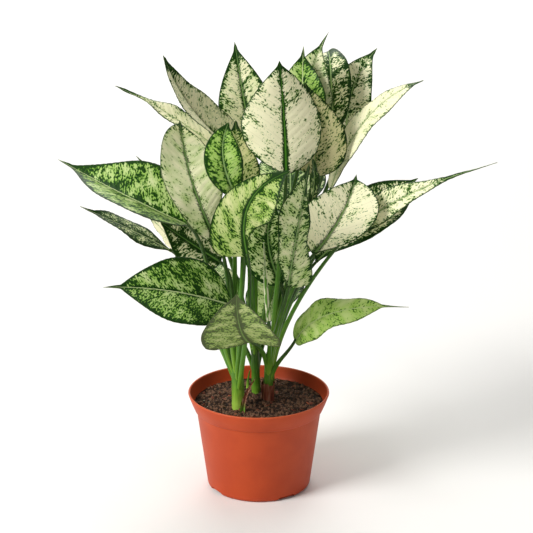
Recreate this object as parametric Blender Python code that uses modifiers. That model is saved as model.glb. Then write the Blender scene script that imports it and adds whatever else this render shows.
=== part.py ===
"""A potted Chinese evergreen: a plastic nursery pot of soil, four canes with their leaf stalks, and the leaves.

Blender units are metres and +Z is up. The sizes below are in millimetres. The origin is the middle of the
pot's underside, the viewer stands at -Y, and +X is to the right.
"""

import math

import bmesh
import bpy
from mathutils import Vector

OBJECT_NAME = "potted_chinese_evergreen"
MM = 0.001
GAP = 0.3
MERGE = 0.00001

# Pot: radii and heights of the turned section
POT_HEIGHT = 109.0
RIM_RADIUS = 77.5
LIP_RADIUS = 1.2
COLLAR_MIDDLE = (73.7, 97.5)
COLLAR_FOOT = (70.5, 90.0)
WALL_TOP = (68.4, 88.4)
WALL_FOOT_RADIUS = 57.0
CORNER_RADIUS = 4.5
WALL = 1.7
TURN_STEPS = 36
NOTCH_COUNT = 4
NOTCH_FIRST_ANGLE = 33.0
NOTCH_WIDTH = 21.0
NOTCH_HEIGHT = 4.3
NOTCH_DEPTH = 10.0

# Soil
SOIL_EDGE_HEIGHT = 95.5
SOIL_MOUND = 2.5
SOIL_CLUMPS = 1.1
SOIL_RINGS = 6
SOIL_WALL_GAP = 0.4
HOLE_GAP = 0.6

# Canes stand in holes in the soil. Their knuckles are old leaf scars, and outward is their stalks' first lean
CANE_DEPTH = 30.0
CANES = {
    "left": dict(foot=(-22, -20), top=(-23, -22, 144), radius=7.6, outward=0.4),
    "right": dict(foot=(10, 0), top=(11, -2, 142), radius=5.6, outward=0.12),
    "back": dict(foot=(-3, 24), top=(-4, 26, 145), radius=5.2, outward=0.15),
    "back_right": dict(foot=(12, 22), top=(13, 24, 143), radius=5.6, outward=0.12),
}
CANE_KNUCKLES = 5
KNUCKLE_SWELL = 0.06
CANE_SIDES = 8

# Leaf stalks leave their cane near its top, or lower where the leaf hangs out to the side
STALK_FOOT_RADIUS = 3.2
STALK_TIP_RADIUS = 1.8
STALK_SIDE_SHARE = 0.35
STALK_REACH = 0.4
STALK_NECK = 30.0
STALK_STEPS = 7
STALK_SIDES = 6
STALK_END_GAP = 0.6
STEEPEST_LEAN = 1.2
LOWEST_SHARE = 0.2

# Blades
BLADE_THICKNESS = 0.8
BLADE_ROWS = 10
BLADE_COLUMNS = 4
END_CROWDING = 0.1
DRIP_TIP_HALF_WIDTH = 2.1
SHORTEST_DRIP_TIP = 0.02
BACK_WAVE_PHASE = 1.9

# Every leaf has its stalk's cane, three points of its midrib, the bearing and rise of its upper side in
# degrees (0 is toward the viewer) and its width. rise_power and fall_power shape the outline toward the base
# and the tip, skew makes one half widest nearer the base, and tail is the drip tip's share of the length.
# share is how far up its cane the stalk leaves, outward its lean there, and neck how soon it follows the midrib.
LEAVES = {
    "leaf_far_left": dict(
        cane="left", base=(-74, -40, 313), middle=(-150, -20, 345), tip=(-216, 40, 362), faces=(25, 50),
        width=100, look="mottled", fold=32, twist=25, roll=-8, tail=0.1, skew=0.05, fall_power=1.35),
    "leaf_far_left_low": dict(
        cane="left", base=(-93, -5, 273), middle=(-141, -15, 303), tip=(-188, -25, 329), faces=(0, 82),
        width=48, look="dark", wave=2, waves=1.5, tail=0.14, rise_power=1.1, fall_power=1),
    "leaf_low_left": dict(
        cane="left", base=(-28, -72, 235), middle=(-91, -105, 263), tip=(-158, -125, 274), faces=(0, 53),
        width=88, look="mottled", fold=15, tail=0.12, skew=-0.2, rise_power=0.65, fall_power=0.95),
    "leaf_left_tall": dict(
        cane="left", base=(-39, -60, 293), middle=(-67, -62, 363), tip=(-83, 5, 415), faces=(30, 20),
        width=68, look="cream", fold=8, curl=0, wave=2, rise_power=1.15, fall_power=0.75),
    "leaf_young": dict(
        cane="left", base=(-21, -72, 351), middle=(-36, -76, 397), tip=(-30, -66, 432), faces=(0, 20),
        width=40, look="green", fold=15, rise_power=0.9, fall_power=1),
    "leaf_centre_folded": dict(
        cane="left", base=(-11, -87, 294), middle=(-9, -99, 356), tip=(33, -120, 396), faces=(-35, 25),
        width=80, look="mottled", fold=18, skew=0.8, rise_power=0.75, share=0.45, outward=0.6),
    "leaf_upper_left": dict(
        cane="left", base=(-22, 22, 373), middle=(-70, 18, 423), tip=(-99, 8, 484), faces=(65, 45),
        width=77, look="cream", fold=28, twist=30, skew=-0.5),
    "leaf_far_upper_left": dict(
        cane="left", base=(-38, 45, 367), middle=(-93, 45, 409), tip=(-153, 45, 442), faces=(55, 58),
        width=42, look="cream", fold=12, wave=2, tail=0.08, skew=0.2, fall_power=1.7),
    "leaf_behind_left": dict(
        cane="left", base=(-41, 7, 256), middle=(-75, -1, 282), tip=(-104, -11, 307), faces=(0, 35),
        width=50, look="dark"),
    "leaf_edge_left": dict(
        cane="left", base=(-89, 28, 254), middle=(-100, 34, 277), tip=(-121, 42, 298), faces=(-82, 20),
        width=40, look="cream"),
    "leaf_spike_left": dict(
        cane="left", base=(-76, 42, 303), middle=(-104, 48, 332), tip=(-133, 54, 362), faces=(0, 60),
        width=21, look="dark", tail=0.2),
    "leaf_front_low": dict(
        cane="right", base=(-9, -66, 192), middle=(-19, -112, 227), tip=(-22, -147, 275), faces=(180, 40),
        width=86, look="mottled", fold=-12, skew=0.12, rise_power=0.7, fall_power=0.9, share=0.65),
    "leaf_hero": dict(
        cane="right", base=(29, -25, 365), middle=(27, 0, 418), tip=(22, 10, 478), faces=(22, 30),
        width=92, look="cream", fold=5, curl=32, rise_power=0.78, fall_power=1),
    "leaf_sliver": dict(
        cane="right", base=(56, -22, 330), middle=(59, -20, 357), tip=(57, -16, 379), faces=(60, 20),
        width=22, look="dark"),
    "leaf_right_front": dict(
        cane="right", base=(58, -36, 279), middle=(87, -28, 319), tip=(105, 20, 351), faces=(10, 50),
        width=76, look="cream", fold=26, tail=0.06, skew=0.35, rise_power=1, fall_power=1),
    "leaf_right_low": dict(
        cane="right", base=(39, -20, 175), middle=(80, -42, 216), tip=(159, -55, 227), faces=(0, 60),
        width=48, look="green", fold=8, wave=3, tail=0.15, skew=0.15, rise_power=0.45, fall_power=0.75),
    "leaf_centre_waved": dict(
        cane="right", base=(31, -65, 251), middle=(40, -76, 315), tip=(52, -88, 394), faces=(30, 20),
        width=52, look="mottled", fold=12, wave=5, waves=2, skew=-0.8, rise_power=0.5),
    "leaf_centre_dark": dict(
        cane="right", base=(24, -12, 237), middle=(10, -9, 287), tip=(19, -6, 330), faces=(0, 20),
        width=56, look="dark"),
    "leaf_behind_young": dict(
        cane="back", base=(-15, -8, 336), middle=(-22, -2, 373), tip=(-24, 12, 413), faces=(0, 30),
        width=44, look="olive"),
    "leaf_top_left": dict(
        cane="back", base=(-6, 60, 367), middle=(-17, 70, 426), tip=(-26, 85, 481), faces=(0, 20),
        width=60, look="mottled", fold=18, tail=0.06),
    "leaf_top_a": dict(
        cane="back", base=(49, 38, 400), middle=(47, 47, 444), tip=(48, 55, 483), faces=(-20, 20),
        width=54, look="green", fold=15, tail=0.12),
    "leaf_top_b": dict(
        cane="back", base=(59, 52, 391), middle=(56, 60, 445), tip=(75, 70, 495), faces=(-20, 20),
        width=55, look="cream", fold=15, tail=0.14),
    "leaf_top_c": dict(
        cane="back_right", base=(82, 84, 379), middle=(78, 94, 450), tip=(77, 157, 453), faces=(-5, 20),
        width=44, look="dark", fold=12),
    "leaf_top_d": dict(
        cane="back_right", base=(97, 100, 378), middle=(104, 107, 425), tip=(130, 119, 466),
        faces=(-25, 20), width=55, look="mottled", fold=15, tail=0.06),
    "leaf_olive": dict(
        cane="back_right", base=(59, 11, 352), middle=(60, 24, 397), tip=(49, 25, 451), faces=(10, 20),
        width=70, look="olive", fold=5, outward=0.2),
    "leaf_right_long": dict(
        cane="back_right", base=(78, 46, 325), middle=(115, 47, 404), tip=(176, 47, 448), faces=(-70, 38),
        width=52, look="cream", tail=0.06, skew=0.25, fall_power=0.85, outward=0),
    "leaf_right_tail": dict(
        cane="back_right", base=(96, -3, 291), middle=(160, -13, 339), tip=(250, -28, 378),
        faces=(-30, 62), width=46, look="cream", fold=15, tail=0.25, share=0.25, outward=0, neck=8),
    "leaf_right_dark": dict(
        cane="back_right", base=(62, 13, 254), middle=(118, 33, 301), tip=(174, 59, 335), faces=(-22, 52),
        width=69, look="dark", fold=18, tail=0.04, skew=0.2, rise_power=1.1, fall_power=1, outward=0.05),
    "leaf_back_left": dict(
        cane="back", base=(-56, 90, 300), middle=(-85, 150, 334), tip=(-108, 205, 325), faces=(180, 45),
        width=70, look="mottled", tail=0.1),
    "leaf_back_middle": dict(
        cane="back", base=(34, 78, 290), middle=(35, 140, 325), tip=(31, 205, 335), faces=(180, 45),
        width=80, look="cream", tail=0.1),
    "leaf_back_right": dict(
        cane="back_right", base=(79, 92, 265), middle=(99, 140, 281), tip=(112, 185, 264),
        faces=(150, 50), width=70, look="mottled", tail=0.1, outward=0.1),
    "leaf_back_low_left": dict(
        cane="back", base=(-36, 58, 180), middle=(-52, 105, 211), tip=(-66, 150, 217), faces=(180, 55),
        width=70, look="dark", fold=8, tail=0.1),
    "leaf_back_low": dict(
        cane="back", base=(11, 52, 170), middle=(20, 100, 200), tip=(26, 150, 205), faces=(180, 50),
        width=70, look="mottled", fold=8, tail=0.1),
    "leaf_back_low_right": dict(
        cane="back_right", base=(33, 68, 247), middle=(47, 118, 268), tip=(61, 168, 255), faces=(140, 50),
        width=64, look="green", fold=8, tail=0.1),
}
LEAF_DEFAULTS = dict(
    fold=10, twist=0, roll=0, curl=15, wave=1, waves=2.5, tail=0.03, skew=0, rise_power=0.62,
    fall_power=1.1, outward=None, share=None, neck=STALK_NECK)

# The new leaf is still rolled into a spear, on a stalk from the right cane
NEW_LEAF = dict(cane="right", base=(11, -45, 208), middle=(8, -47, 250), tip=(6, -49, 297))
NEW_LEAF_RADIUS = 3.0
NEW_LEAF_TIP_RADIUS = 0.8
NEW_LEAF_POINTS = 9
NEW_LEAF_FULLEST = 0.25
NEW_LEAF_FULLNESS = 0.7

# Dead and young pieces at the feet of the canes
STRIP = dict(
    base=(-17, -33, 94), middle=(-14, -33, 116), tip=(-2, -31, 138), faces=(-10, 10),
    width=6, fold=25, tail=0.3, rise_power=0.3)
STRIP_HOLE_RADIUS = 4.4
STRIP_HOLE_DEPTH = 6.0
WRAP_RADIUS = 6.6
WRAP_FLARE = 0.5
WRAP_BOTTOM = 102.0
WRAP_HEIGHT = 17.0
WRAP_THICKNESS = 0.7
WRAP_ANGLE = 300.0
WRAP_START = 120.0
WRAP_STEPS = 14
WRAP_ROWS = 3
SPROUT = dict(foot=(-12, 36), bend=(-13, 36, 106), top=(-10, 37, 118), radius=2.3)
SPROUT_DEPTH = 6.0
SPROUT_TIP_RADIUS = 0.7
SPROUT_STEPS = 5

# Colour, roughness
FINISHES = {
    "pot_plastic": ((0.48, 0.11, 0.045), 0.42),
    "soil": ((0.045, 0.026, 0.018), 0.95),
    "stem": ((0.13, 0.24, 0.04), 0.5),
    "leaf_cream": ((0.72, 0.75, 0.46), 0.4),
    "leaf_mottled": ((0.36, 0.5, 0.16), 0.4),
    "leaf_green": ((0.2, 0.42, 0.08), 0.4),
    "leaf_dark": ((0.05, 0.14, 0.025), 0.38),
    "leaf_olive": ((0.34, 0.33, 0.14), 0.42),
    "new_leaf": ((0.78, 0.82, 0.58), 0.42),
    "dried_sheath": ((0.38, 0.19, 0.11), 0.8),
}


def start_scene():
    """An empty scene with a collection for the parts and one for what cuts them."""
    for obj in list(bpy.data.objects):
        bpy.data.objects.remove(obj, do_unlink=True)
    found = []
    for name in (OBJECT_NAME, "cutters", "shapes_to_join"):
        collection = bpy.data.collections.new(name)
        bpy.context.scene.collection.children.link(collection)
        found.append(collection)
    return found


def finish(name):
    """The Principled material of this name, made the first time that it is asked for."""
    if name in bpy.data.materials:
        return bpy.data.materials[name]
    colour, roughness = FINISHES[name]
    made = bpy.data.materials.new(name)
    made.use_nodes = True
    shader = made.node_tree.nodes["Principled BSDF"]
    shader.inputs["Base Color"].default_value = (*colour, 1.0)
    shader.inputs["Roughness"].default_value = roughness
    made.diffuse_color = (*colour, 1.0)
    return made


def metres(point):
    return Vector(point) * MM


def place(mesh, name, collection, material_name=None, at=(0, 0, 0)):
    obj = bpy.data.objects.new(name, mesh)
    obj.location = metres(at)
    collection.objects.link(obj)
    if material_name:
        mesh.materials.append(finish(material_name))
    return obj


def shade(mesh, angle=40.0):
    mesh.shade_smooth()
    mesh.set_sharp_from_angle(angle=math.radians(angle))


def evaluated_mesh(obj):
    """The object's mesh with its modifiers applied, or the mesh of its curve, its caps welded."""
    graph = bpy.context.evaluated_depsgraph_get()
    mesh = bpy.data.meshes.new_from_object(obj.evaluated_get(graph))
    shape = bmesh.new()
    shape.from_mesh(mesh)
    bmesh.ops.remove_doubles(shape, verts=shape.verts, dist=MERGE)
    shape.to_mesh(mesh)
    shape.free()
    return mesh


def as_cutter(obj):
    obj.hide_render = True
    obj.display_type = "WIRE"


def cut(obj, cutter):
    as_cutter(cutter)
    modifier = obj.modifiers.new(cutter.name, "BOOLEAN")
    modifier.operation = "DIFFERENCE"
    modifier.object = cutter


def arc(centre, radius, start, end, steps):
    """Points of an arc in the turned section, from one angle in degrees to another."""
    points = []
    for step in range(steps + 1):
        angle = math.radians(start + (end - start) * step / steps)
        points.append((centre[0] + radius * math.cos(angle), centre[1] + radius * math.sin(angle)))
    return points


def turned(name, profile, collection, material_name, at=(0, 0, 0), steps=TURN_STEPS, angle=360.0):
    """A profile of radius and height, turned about the vertical."""
    mesh = bpy.data.meshes.new(name)
    shape = bmesh.new()
    verts = [shape.verts.new(metres((radius, 0, height))) for radius, height in profile]
    for first, second in zip(verts, verts[1:]):
        shape.edges.new((first, second))
    shape.to_mesh(mesh)
    shape.free()
    obj = place(mesh, name, collection, material_name, at)
    screw = obj.modifiers.new("Turn", "SCREW")
    screw.angle = math.radians(angle)
    screw.steps = steps
    screw.render_steps = steps
    screw.use_merge_vertices = True
    screw.merge_threshold = MERGE
    screw.use_smooth_shade = True
    return obj


def inner_wall():
    """The inside of the pot, from its floor's edge up to the lip."""
    corner = (WALL_FOOT_RADIUS - CORNER_RADIUS, CORNER_RADIUS)
    points = arc(corner, CORNER_RADIUS - WALL, -90, 0, 2)
    points.append((WALL_TOP[0] - WALL, WALL_TOP[1]))
    points.append((COLLAR_FOOT[0] - WALL, COLLAR_FOOT[1] + WALL / 2))
    points.append((COLLAR_MIDDLE[0] - WALL, COLLAR_MIDDLE[1]))
    return points


def pot(parts, cutters):
    lip = (RIM_RADIUS - LIP_RADIUS, POT_HEIGHT - LIP_RADIUS)
    corner = (WALL_FOOT_RADIUS - CORNER_RADIUS, CORNER_RADIUS)
    profile = [(0, WALL)]
    profile += inner_wall()
    profile += arc(lip, LIP_RADIUS, 180, 0, 4)
    profile += [COLLAR_MIDDLE, COLLAR_FOOT, WALL_TOP]
    profile += arc(corner, CORNER_RADIUS, 0, -90, 3)
    profile.append((0, 0))
    shell = turned("pot", profile, parts, "pot_plastic")
    for number in range(NOTCH_COUNT):
        angle = NOTCH_FIRST_ANGLE + number * 360 / NOTCH_COUNT
        cut(shell, notch_cutter(number + 1, angle, cutters))


def notch_cutter(number, angle, cutters):
    """A block through the pot's bottom edge, its angle counted from the front toward the right."""
    mesh = bpy.data.meshes.new(f"notch_cutter_{number}")
    shape = bmesh.new()
    bmesh.ops.create_cube(shape, size=1.0)
    sides = metres((NOTCH_WIDTH, NOTCH_DEPTH, 2 * NOTCH_HEIGHT))
    bmesh.ops.scale(shape, vec=sides, verts=shape.verts)
    shape.to_mesh(mesh)
    shape.free()
    turn = math.radians(angle)
    reach = WALL_FOOT_RADIUS
    cutter = place(mesh, mesh.name, cutters, at=(math.sin(turn) * reach, -math.cos(turn) * reach, 0))
    cutter.rotation_euler.z = turn
    return cutter


def soil_height(x, y, edge_radius):
    """The mound's height, with clumps that fade out at the pot's wall."""
    level = 1 - min(1.0, math.hypot(x, y) / edge_radius) ** 2
    clumps = math.sin(x / 8 + 0.6) * math.cos(y / 7 + 1.1) + 0.6 * math.sin((x + y) / 5 + 2.0)
    return SOIL_EDGE_HEIGHT + level * (SOIL_MOUND + SOIL_CLUMPS * clumps)


def soil(parts, cutters):
    wall = inner_wall()
    below, above = wall[-2], wall[-1]
    share = (SOIL_EDGE_HEIGHT - below[1]) / (above[1] - below[1])
    edge_radius = below[0] + (above[0] - below[0]) * share - SOIL_WALL_GAP
    profile = [(edge_radius * ring / SOIL_RINGS, SOIL_EDGE_HEIGHT) for ring in range(SOIL_RINGS + 1)]
    profile += [(radius - SOIL_WALL_GAP, height) for radius, height in reversed(wall[2:-1])]
    profile.append((wall[1][0] - SOIL_WALL_GAP, wall[1][1] + SOIL_WALL_GAP))
    profile.append((wall[0][0], wall[0][1] + SOIL_WALL_GAP))
    profile.append((0, wall[0][1] + SOIL_WALL_GAP))
    rough = turned("soil_turned", profile, parts, None)
    mesh = evaluated_mesh(rough)
    mesh.name = "soil"
    bpy.data.objects.remove(rough)
    for vert in mesh.vertices:
        if vert.co.z > (SOIL_EDGE_HEIGHT - GAP) * MM:
            vert.co.z = soil_height(vert.co.x / MM, vert.co.y / MM, edge_radius) * MM
    fill = place(mesh, "soil", parts, "soil")
    for name, cane in CANES.items():
        cut(fill, hole_cutter(name, cane["foot"], cane["radius"] + HOLE_GAP, CANE_DEPTH, cutters))
    cut(fill, hole_cutter("sprout", SPROUT["foot"], SPROUT["radius"] + HOLE_GAP, SPROUT_DEPTH, cutters))
    cut(fill, hole_cutter("strip", STRIP["base"][:2], STRIP_HOLE_RADIUS, STRIP_HOLE_DEPTH, cutters))


def hole_cutter(name, foot, radius, depth, cutters):
    """An upright cylinder from a little below the stem's foot to well above the soil."""
    bottom = SOIL_EDGE_HEIGHT - depth - HOLE_GAP
    height = POT_HEIGHT - bottom
    mesh = bpy.data.meshes.new(f"{name}_hole_cutter")
    shape = bmesh.new()
    bmesh.ops.create_cone(
        shape, cap_ends=True, segments=16, radius1=radius * MM, radius2=radius * MM, depth=height * MM)
    shape.to_mesh(mesh)
    shape.free()
    return place(mesh, mesh.name, cutters, at=(*foot, bottom + height / 2))


def leaf_values(leaf):
    return {**LEAF_DEFAULTS, **leaf}


def midrib(leaf, t):
    """The midrib's point in millimetres, and its direction, t running from base to tip."""
    base, middle, tip = (Vector(leaf[end]) for end in ("base", "middle", "tip"))
    control = 2 * middle - (base + tip) / 2
    point = (1 - t) ** 2 * base + 2 * t * (1 - t) * control + t**2 * tip
    direction = (1 - t) * (control - base) + t * (tip - control)
    return point, direction.normalized()


def upper_side(faces):
    bearing, rise = (math.radians(angle) for angle in faces)
    return Vector((
        math.sin(bearing) * math.cos(rise), -math.cos(bearing) * math.cos(rise), math.sin(rise)))


def half_width(leaf, t, v):
    """Half the blade's width in millimetres: a rounded base, a long point and a narrow drip tip."""
    rise, fall, tail = leaf["rise_power"], leaf["fall_power"], leaf["tail"]
    along = min(1.0, t / (1 - tail)) ** math.exp(leaf["skew"] * ((v > 0) - (v < 0)))
    fullest = (rise / (rise + fall)) ** rise * (fall / (rise + fall)) ** fall
    body = leaf["width"] / 2 * along**rise * (1 - along) ** fall / fullest
    drip = DRIP_TIP_HALF_WIDTH * min(1.0, (1 - t) / max(tail, SHORTEST_DRIP_TIP))
    return math.hypot(body, drip)


def blade_point(leaf, t, v):
    """A point of the blade in millimetres: t runs along it, and v across it from -1 to 1."""
    point, direction = midrib(leaf, t)
    side = direction.cross(upper_side(leaf["faces"])).normalized()
    normal = side.cross(direction)
    turn = math.radians(leaf["twist"] * (t - 0.5) + leaf["roll"])
    side, normal = (
        side * math.cos(turn) + normal * math.sin(turn), normal * math.cos(turn) - side * math.sin(turn))
    half, out = half_width(leaf, t, v), abs(v)
    fold, curl = math.radians(leaf["fold"]), math.radians(leaf["curl"])
    across = half * v * math.cos(fold - curl * out / 2)
    up = half * (fold * out - curl * out**2 / 2)
    phase = 0 if v > 0 else BACK_WAVE_PHASE
    ripple = math.sin(2 * math.pi * leaf["waves"] * t + phase) * math.sin(math.pi * t)
    return point + side * across + normal * (up + leaf["wave"] * out**2 * ripple)


def blade(name, leaf, parts, material_name):
    """A thin leaf, bent from a flat grid and given its thickness."""
    leaf = leaf_values(leaf)
    base = Vector(leaf["base"])
    mesh = bpy.data.meshes.new(name)
    shape = bmesh.new()
    bmesh.ops.create_grid(shape, x_segments=BLADE_ROWS, y_segments=BLADE_COLUMNS, size=1.0)
    for vert in shape.verts:
        u, v = (vert.co.x + 1) / 2, vert.co.y
        t = u - END_CROWDING * math.sin(2 * math.pi * u)
        vert.co = (blade_point(leaf, t, v) - base) * MM
    bmesh.ops.remove_doubles(shape, verts=shape.verts, dist=MERGE)
    bmesh.ops.triangulate(shape, faces=shape.faces)
    shape.to_mesh(mesh)
    shape.free()
    mesh.shade_smooth()
    obj = place(mesh, name, parts, material_name, at=base)
    thickness = obj.modifiers.new("Thickness", "SOLIDIFY")
    thickness.thickness = BLADE_THICKNESS * MM
    thickness.offset = 0
    return obj


def tube(name, points, radii, collection, sides):
    """A round stem through points in millimetres, as a welded mesh."""
    curve = bpy.data.curves.new(name, "CURVE")
    curve.dimensions = "3D"
    curve.bevel_depth = MM
    curve.bevel_resolution = sides // 2 - 2
    curve.use_fill_caps = True
    spline = curve.splines.new("POLY")
    spline.points.add(len(points) - 1)
    for knot, point, radius in zip(spline.points, points, radii):
        knot.co = (*metres(point), 1.0)
        knot.radius = radius
    line = bpy.data.objects.new(name, curve)
    collection.objects.link(line)
    mesh = evaluated_mesh(line)
    matrix = line.matrix_world.copy()
    bpy.data.objects.remove(line)
    bpy.data.curves.remove(curve)
    obj = bpy.data.objects.new(name, mesh)
    obj.matrix_world = matrix
    collection.objects.link(obj)
    return obj


def bent(points, steps):
    """Points of a cubic curve through the first and last of four, with the others as its handles."""
    start, first, second, end = points
    found = []
    for step in range(steps + 1):
        t = step / steps
        found.append(
            (1 - t) ** 3 * start + 3 * t * (1 - t) ** 2 * first + 3 * t**2 * (1 - t) * second + t**3 * end)
    return found


def cane_tube(name, cane, collection):
    foot, top = Vector((*cane["foot"], SOIL_EDGE_HEIGHT)), Vector(cane["top"])
    points, radii = [foot - Vector((0, 0, CANE_DEPTH)), foot], [cane["radius"]] * 2
    for knuckle in range(1, CANE_KNUCKLES + 1):
        swell = KNUCKLE_SWELL if knuckle % 2 else -KNUCKLE_SWELL
        points.append(foot.lerp(top, knuckle / CANE_KNUCKLES))
        radii.append(cane["radius"] * (1 + swell))
    return tube(name, points, radii, collection, CANE_SIDES)


def stalk_points(leaf):
    """The stalk leaves its cane upward and outward, and meets the blade along the midrib."""
    leaf = leaf_values(leaf)
    cane = CANES[leaf["cane"]]
    foot, top, base = Vector((*cane["foot"], SOIL_EDGE_HEIGHT)), Vector(cane["top"]), Vector(leaf["base"])
    outward = Vector((base.x - top.x, base.y - top.y, 0))
    lean = math.atan2(outward.length, base.z - top.z)
    share = leaf["share"] or 1 - min(1.0, lean / STEEPEST_LEAN) * (1 - LOWEST_SHARE)
    outward.normalize()
    start = foot.lerp(top, share) + outward * cane["radius"] * STALK_SIDE_SHARE
    direction = midrib(leaf, 0)[1]
    end = base - direction * STALK_END_GAP
    length = (end - start).length
    leaning = cane["outward"] if leaf["outward"] is None else leaf["outward"]
    rise = (Vector((0, 0, 1)) + outward * leaning).normalized()
    neck = min(STALK_REACH * length, leaf["neck"])
    return [start, start + rise * length * STALK_REACH, end - direction * neck, end]


def clump(name, cane_name, extra_leaves, parts, joining):
    """A cane and the stalks of all its leaves, joined into one body."""
    stem = cane_tube(name, CANES[cane_name], parts)
    for leaf_name, leaf in [*LEAVES.items(), *extra_leaves]:
        if leaf["cane"] != cane_name:
            continue
        radii = [
            STALK_FOOT_RADIUS + (STALK_TIP_RADIUS - STALK_FOOT_RADIUS) * step / STALK_STEPS
            for step in range(STALK_STEPS + 1)]
        tube(f"stalk_{leaf_name}", bent(stalk_points(leaf), STALK_STEPS), radii, joining, STALK_SIDES)
    union = stem.modifiers.new("Join", "BOOLEAN")
    union.operation = "UNION"
    union.operand_type = "COLLECTION"
    union.collection = joining
    mesh = evaluated_mesh(stem)
    stem.modifiers.clear()
    stem.data = mesh
    mesh.materials.append(finish("stem"))
    shade(mesh, 50.0)
    for obj in list(joining.objects):
        bpy.data.objects.remove(obj)


def new_leaf(parts):
    """A rolled leaf: slim at its foot, fullest low down and pointed."""
    points, radii = [], []
    for step in range(NEW_LEAF_POINTS):
        t = step / (NEW_LEAF_POINTS - 1)
        points.append(midrib(NEW_LEAF, t)[0])
        swell = math.sin(math.pi * min(1.0, t + 0.5 - NEW_LEAF_FULLEST)) ** NEW_LEAF_FULLNESS
        radii.append(NEW_LEAF_TIP_RADIUS + (NEW_LEAF_RADIUS - NEW_LEAF_TIP_RADIUS) * swell)
    spear = tube("new_leaf", points, radii, parts, sides=8)
    spear.data.materials.append(finish("new_leaf"))
    shade(spear.data, 50.0)


def cane_wrap(parts):
    """A dried sheath round the right cane, open down one side and flared at its torn top."""
    half = WRAP_THICKNESS / 2
    profile = []
    for step in range(WRAP_ROWS + 1):
        t = step / WRAP_ROWS
        profile.append((WRAP_RADIUS + half + WRAP_FLARE * (1 - t) ** 2, WRAP_BOTTOM + WRAP_HEIGHT * (1 - t)))
    wrap = turned(
        "cane_sheath", profile, parts, "dried_sheath", at=(*CANES["right"]["foot"], 0),
        steps=WRAP_STEPS, angle=WRAP_ANGLE)
    wrap.rotation_euler.z = math.radians(WRAP_START)
    thickness = wrap.modifiers.new("Thickness", "SOLIDIFY")
    thickness.thickness = WRAP_THICKNESS * MM
    thickness.offset = 0


def sprout(parts):
    foot = Vector((*SPROUT["foot"], SOIL_EDGE_HEIGHT - SPROUT_DEPTH))
    bend, top = Vector(SPROUT["bend"]), Vector(SPROUT["top"])
    points = bent([foot, foot.lerp(bend, 0.7), bend, top], SPROUT_STEPS)
    radii = [
        SPROUT["radius"] + (SPROUT_TIP_RADIUS - SPROUT["radius"]) * (step / SPROUT_STEPS) ** 2
        for step in range(SPROUT_STEPS + 1)]
    shoot = tube("sprout", points, radii, parts, STALK_SIDES)
    shoot.data.materials.append(finish("stem"))
    shade(shoot.data, 50.0)


def build():
    parts, cutters, joining = start_scene()
    pot(parts, cutters)
    soil(parts, cutters)
    for cane_name in CANES:
        extra = [("new_leaf", NEW_LEAF)] if cane_name == NEW_LEAF["cane"] else []
        clump(f"stems_{cane_name}", cane_name, extra, parts, joining)
    for name, leaf in LEAVES.items():
        blade(name, leaf, parts, f"leaf_{leaf['look']}")
    new_leaf(parts)
    blade("dried_strip", STRIP, parts, "dried_sheath")
    cane_wrap(parts)
    sprout(parts)
    bpy.data.collections.remove(joining)


build()
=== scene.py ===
# Dresses the potted Chinese evergreen: variegated leaves, stalks, canes, potting mix and the plastic pot
from math import atan2, cos, hypot, pi, radians, sin
from types import SimpleNamespace
import bpy
import bmesh
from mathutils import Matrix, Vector


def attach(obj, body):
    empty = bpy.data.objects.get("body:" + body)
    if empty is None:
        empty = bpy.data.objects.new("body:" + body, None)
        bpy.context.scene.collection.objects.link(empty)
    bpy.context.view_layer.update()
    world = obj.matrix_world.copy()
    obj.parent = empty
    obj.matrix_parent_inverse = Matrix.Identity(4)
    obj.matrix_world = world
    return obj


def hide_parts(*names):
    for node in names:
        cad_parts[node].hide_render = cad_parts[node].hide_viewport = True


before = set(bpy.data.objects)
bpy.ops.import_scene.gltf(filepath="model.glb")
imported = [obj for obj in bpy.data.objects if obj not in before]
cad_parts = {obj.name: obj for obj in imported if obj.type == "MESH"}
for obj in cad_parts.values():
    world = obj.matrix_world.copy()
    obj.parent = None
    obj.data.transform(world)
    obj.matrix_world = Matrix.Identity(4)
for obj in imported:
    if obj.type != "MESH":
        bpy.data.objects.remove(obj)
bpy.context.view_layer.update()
mm = 0.001
fullTurn = 2 * pi
scene = bpy.context.scene


# Node trees, written as sums of fields

def hexColour(text):
    # sRGB hex to the linear values that Blender works in
    channels = [int(text[i:i + 2], 16) / 255 for i in (1, 3, 5)]
    linear = [c / 12.92 if c <= 0.04045 else ((c + 0.055) / 1.055) ** 2.4 for c in channels]
    return (*linear, 1.0)


class Field:
    # A value in a node tree that is added, multiplied and so on like a number, each step by a node
    def __init__(self, socket):
        self.socket = socket

    def __rsub__(self, other):
        return step("SUBTRACT", other, self)

    def into(self, kind, inputs=None, **settings):
        # The next geometry node, with this field as its first input
        return addNode(self.socket.id_data, "GeometryNode" + kind, {0: self, **(inputs or {})}, **settings)


signs = dict(__add__="ADD", __sub__="SUBTRACT", __mul__="MULTIPLY", __truediv__="DIVIDE", __pow__="POWER")
for sign, signWork in signs.items():
    setattr(Field, sign, lambda self, other, work=signWork: step(work, self, other))


def addNode(tree, kind, inputs=None, output=0, **settings):
    # A node with its settings, each input linked or given a value; gives one output, or all for None
    node = tree.nodes.new(kind)
    for name, value in settings.items():
        setattr(node, name, value)
    for key, given in (inputs or {}).items():
        for value in given if isinstance(given, list) else [given]:
            if isinstance(value, Field):
                tree.links.new(value.socket, node.inputs[key])
            else:
                isColour = isinstance(value, str) and value.startswith("#")
                node.inputs[key].default_value = hexColour(value) if isColour else value
    if output is None or not node.outputs:
        return [Field(socket) for socket in node.outputs]
    return Field(node.outputs[output])


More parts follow.
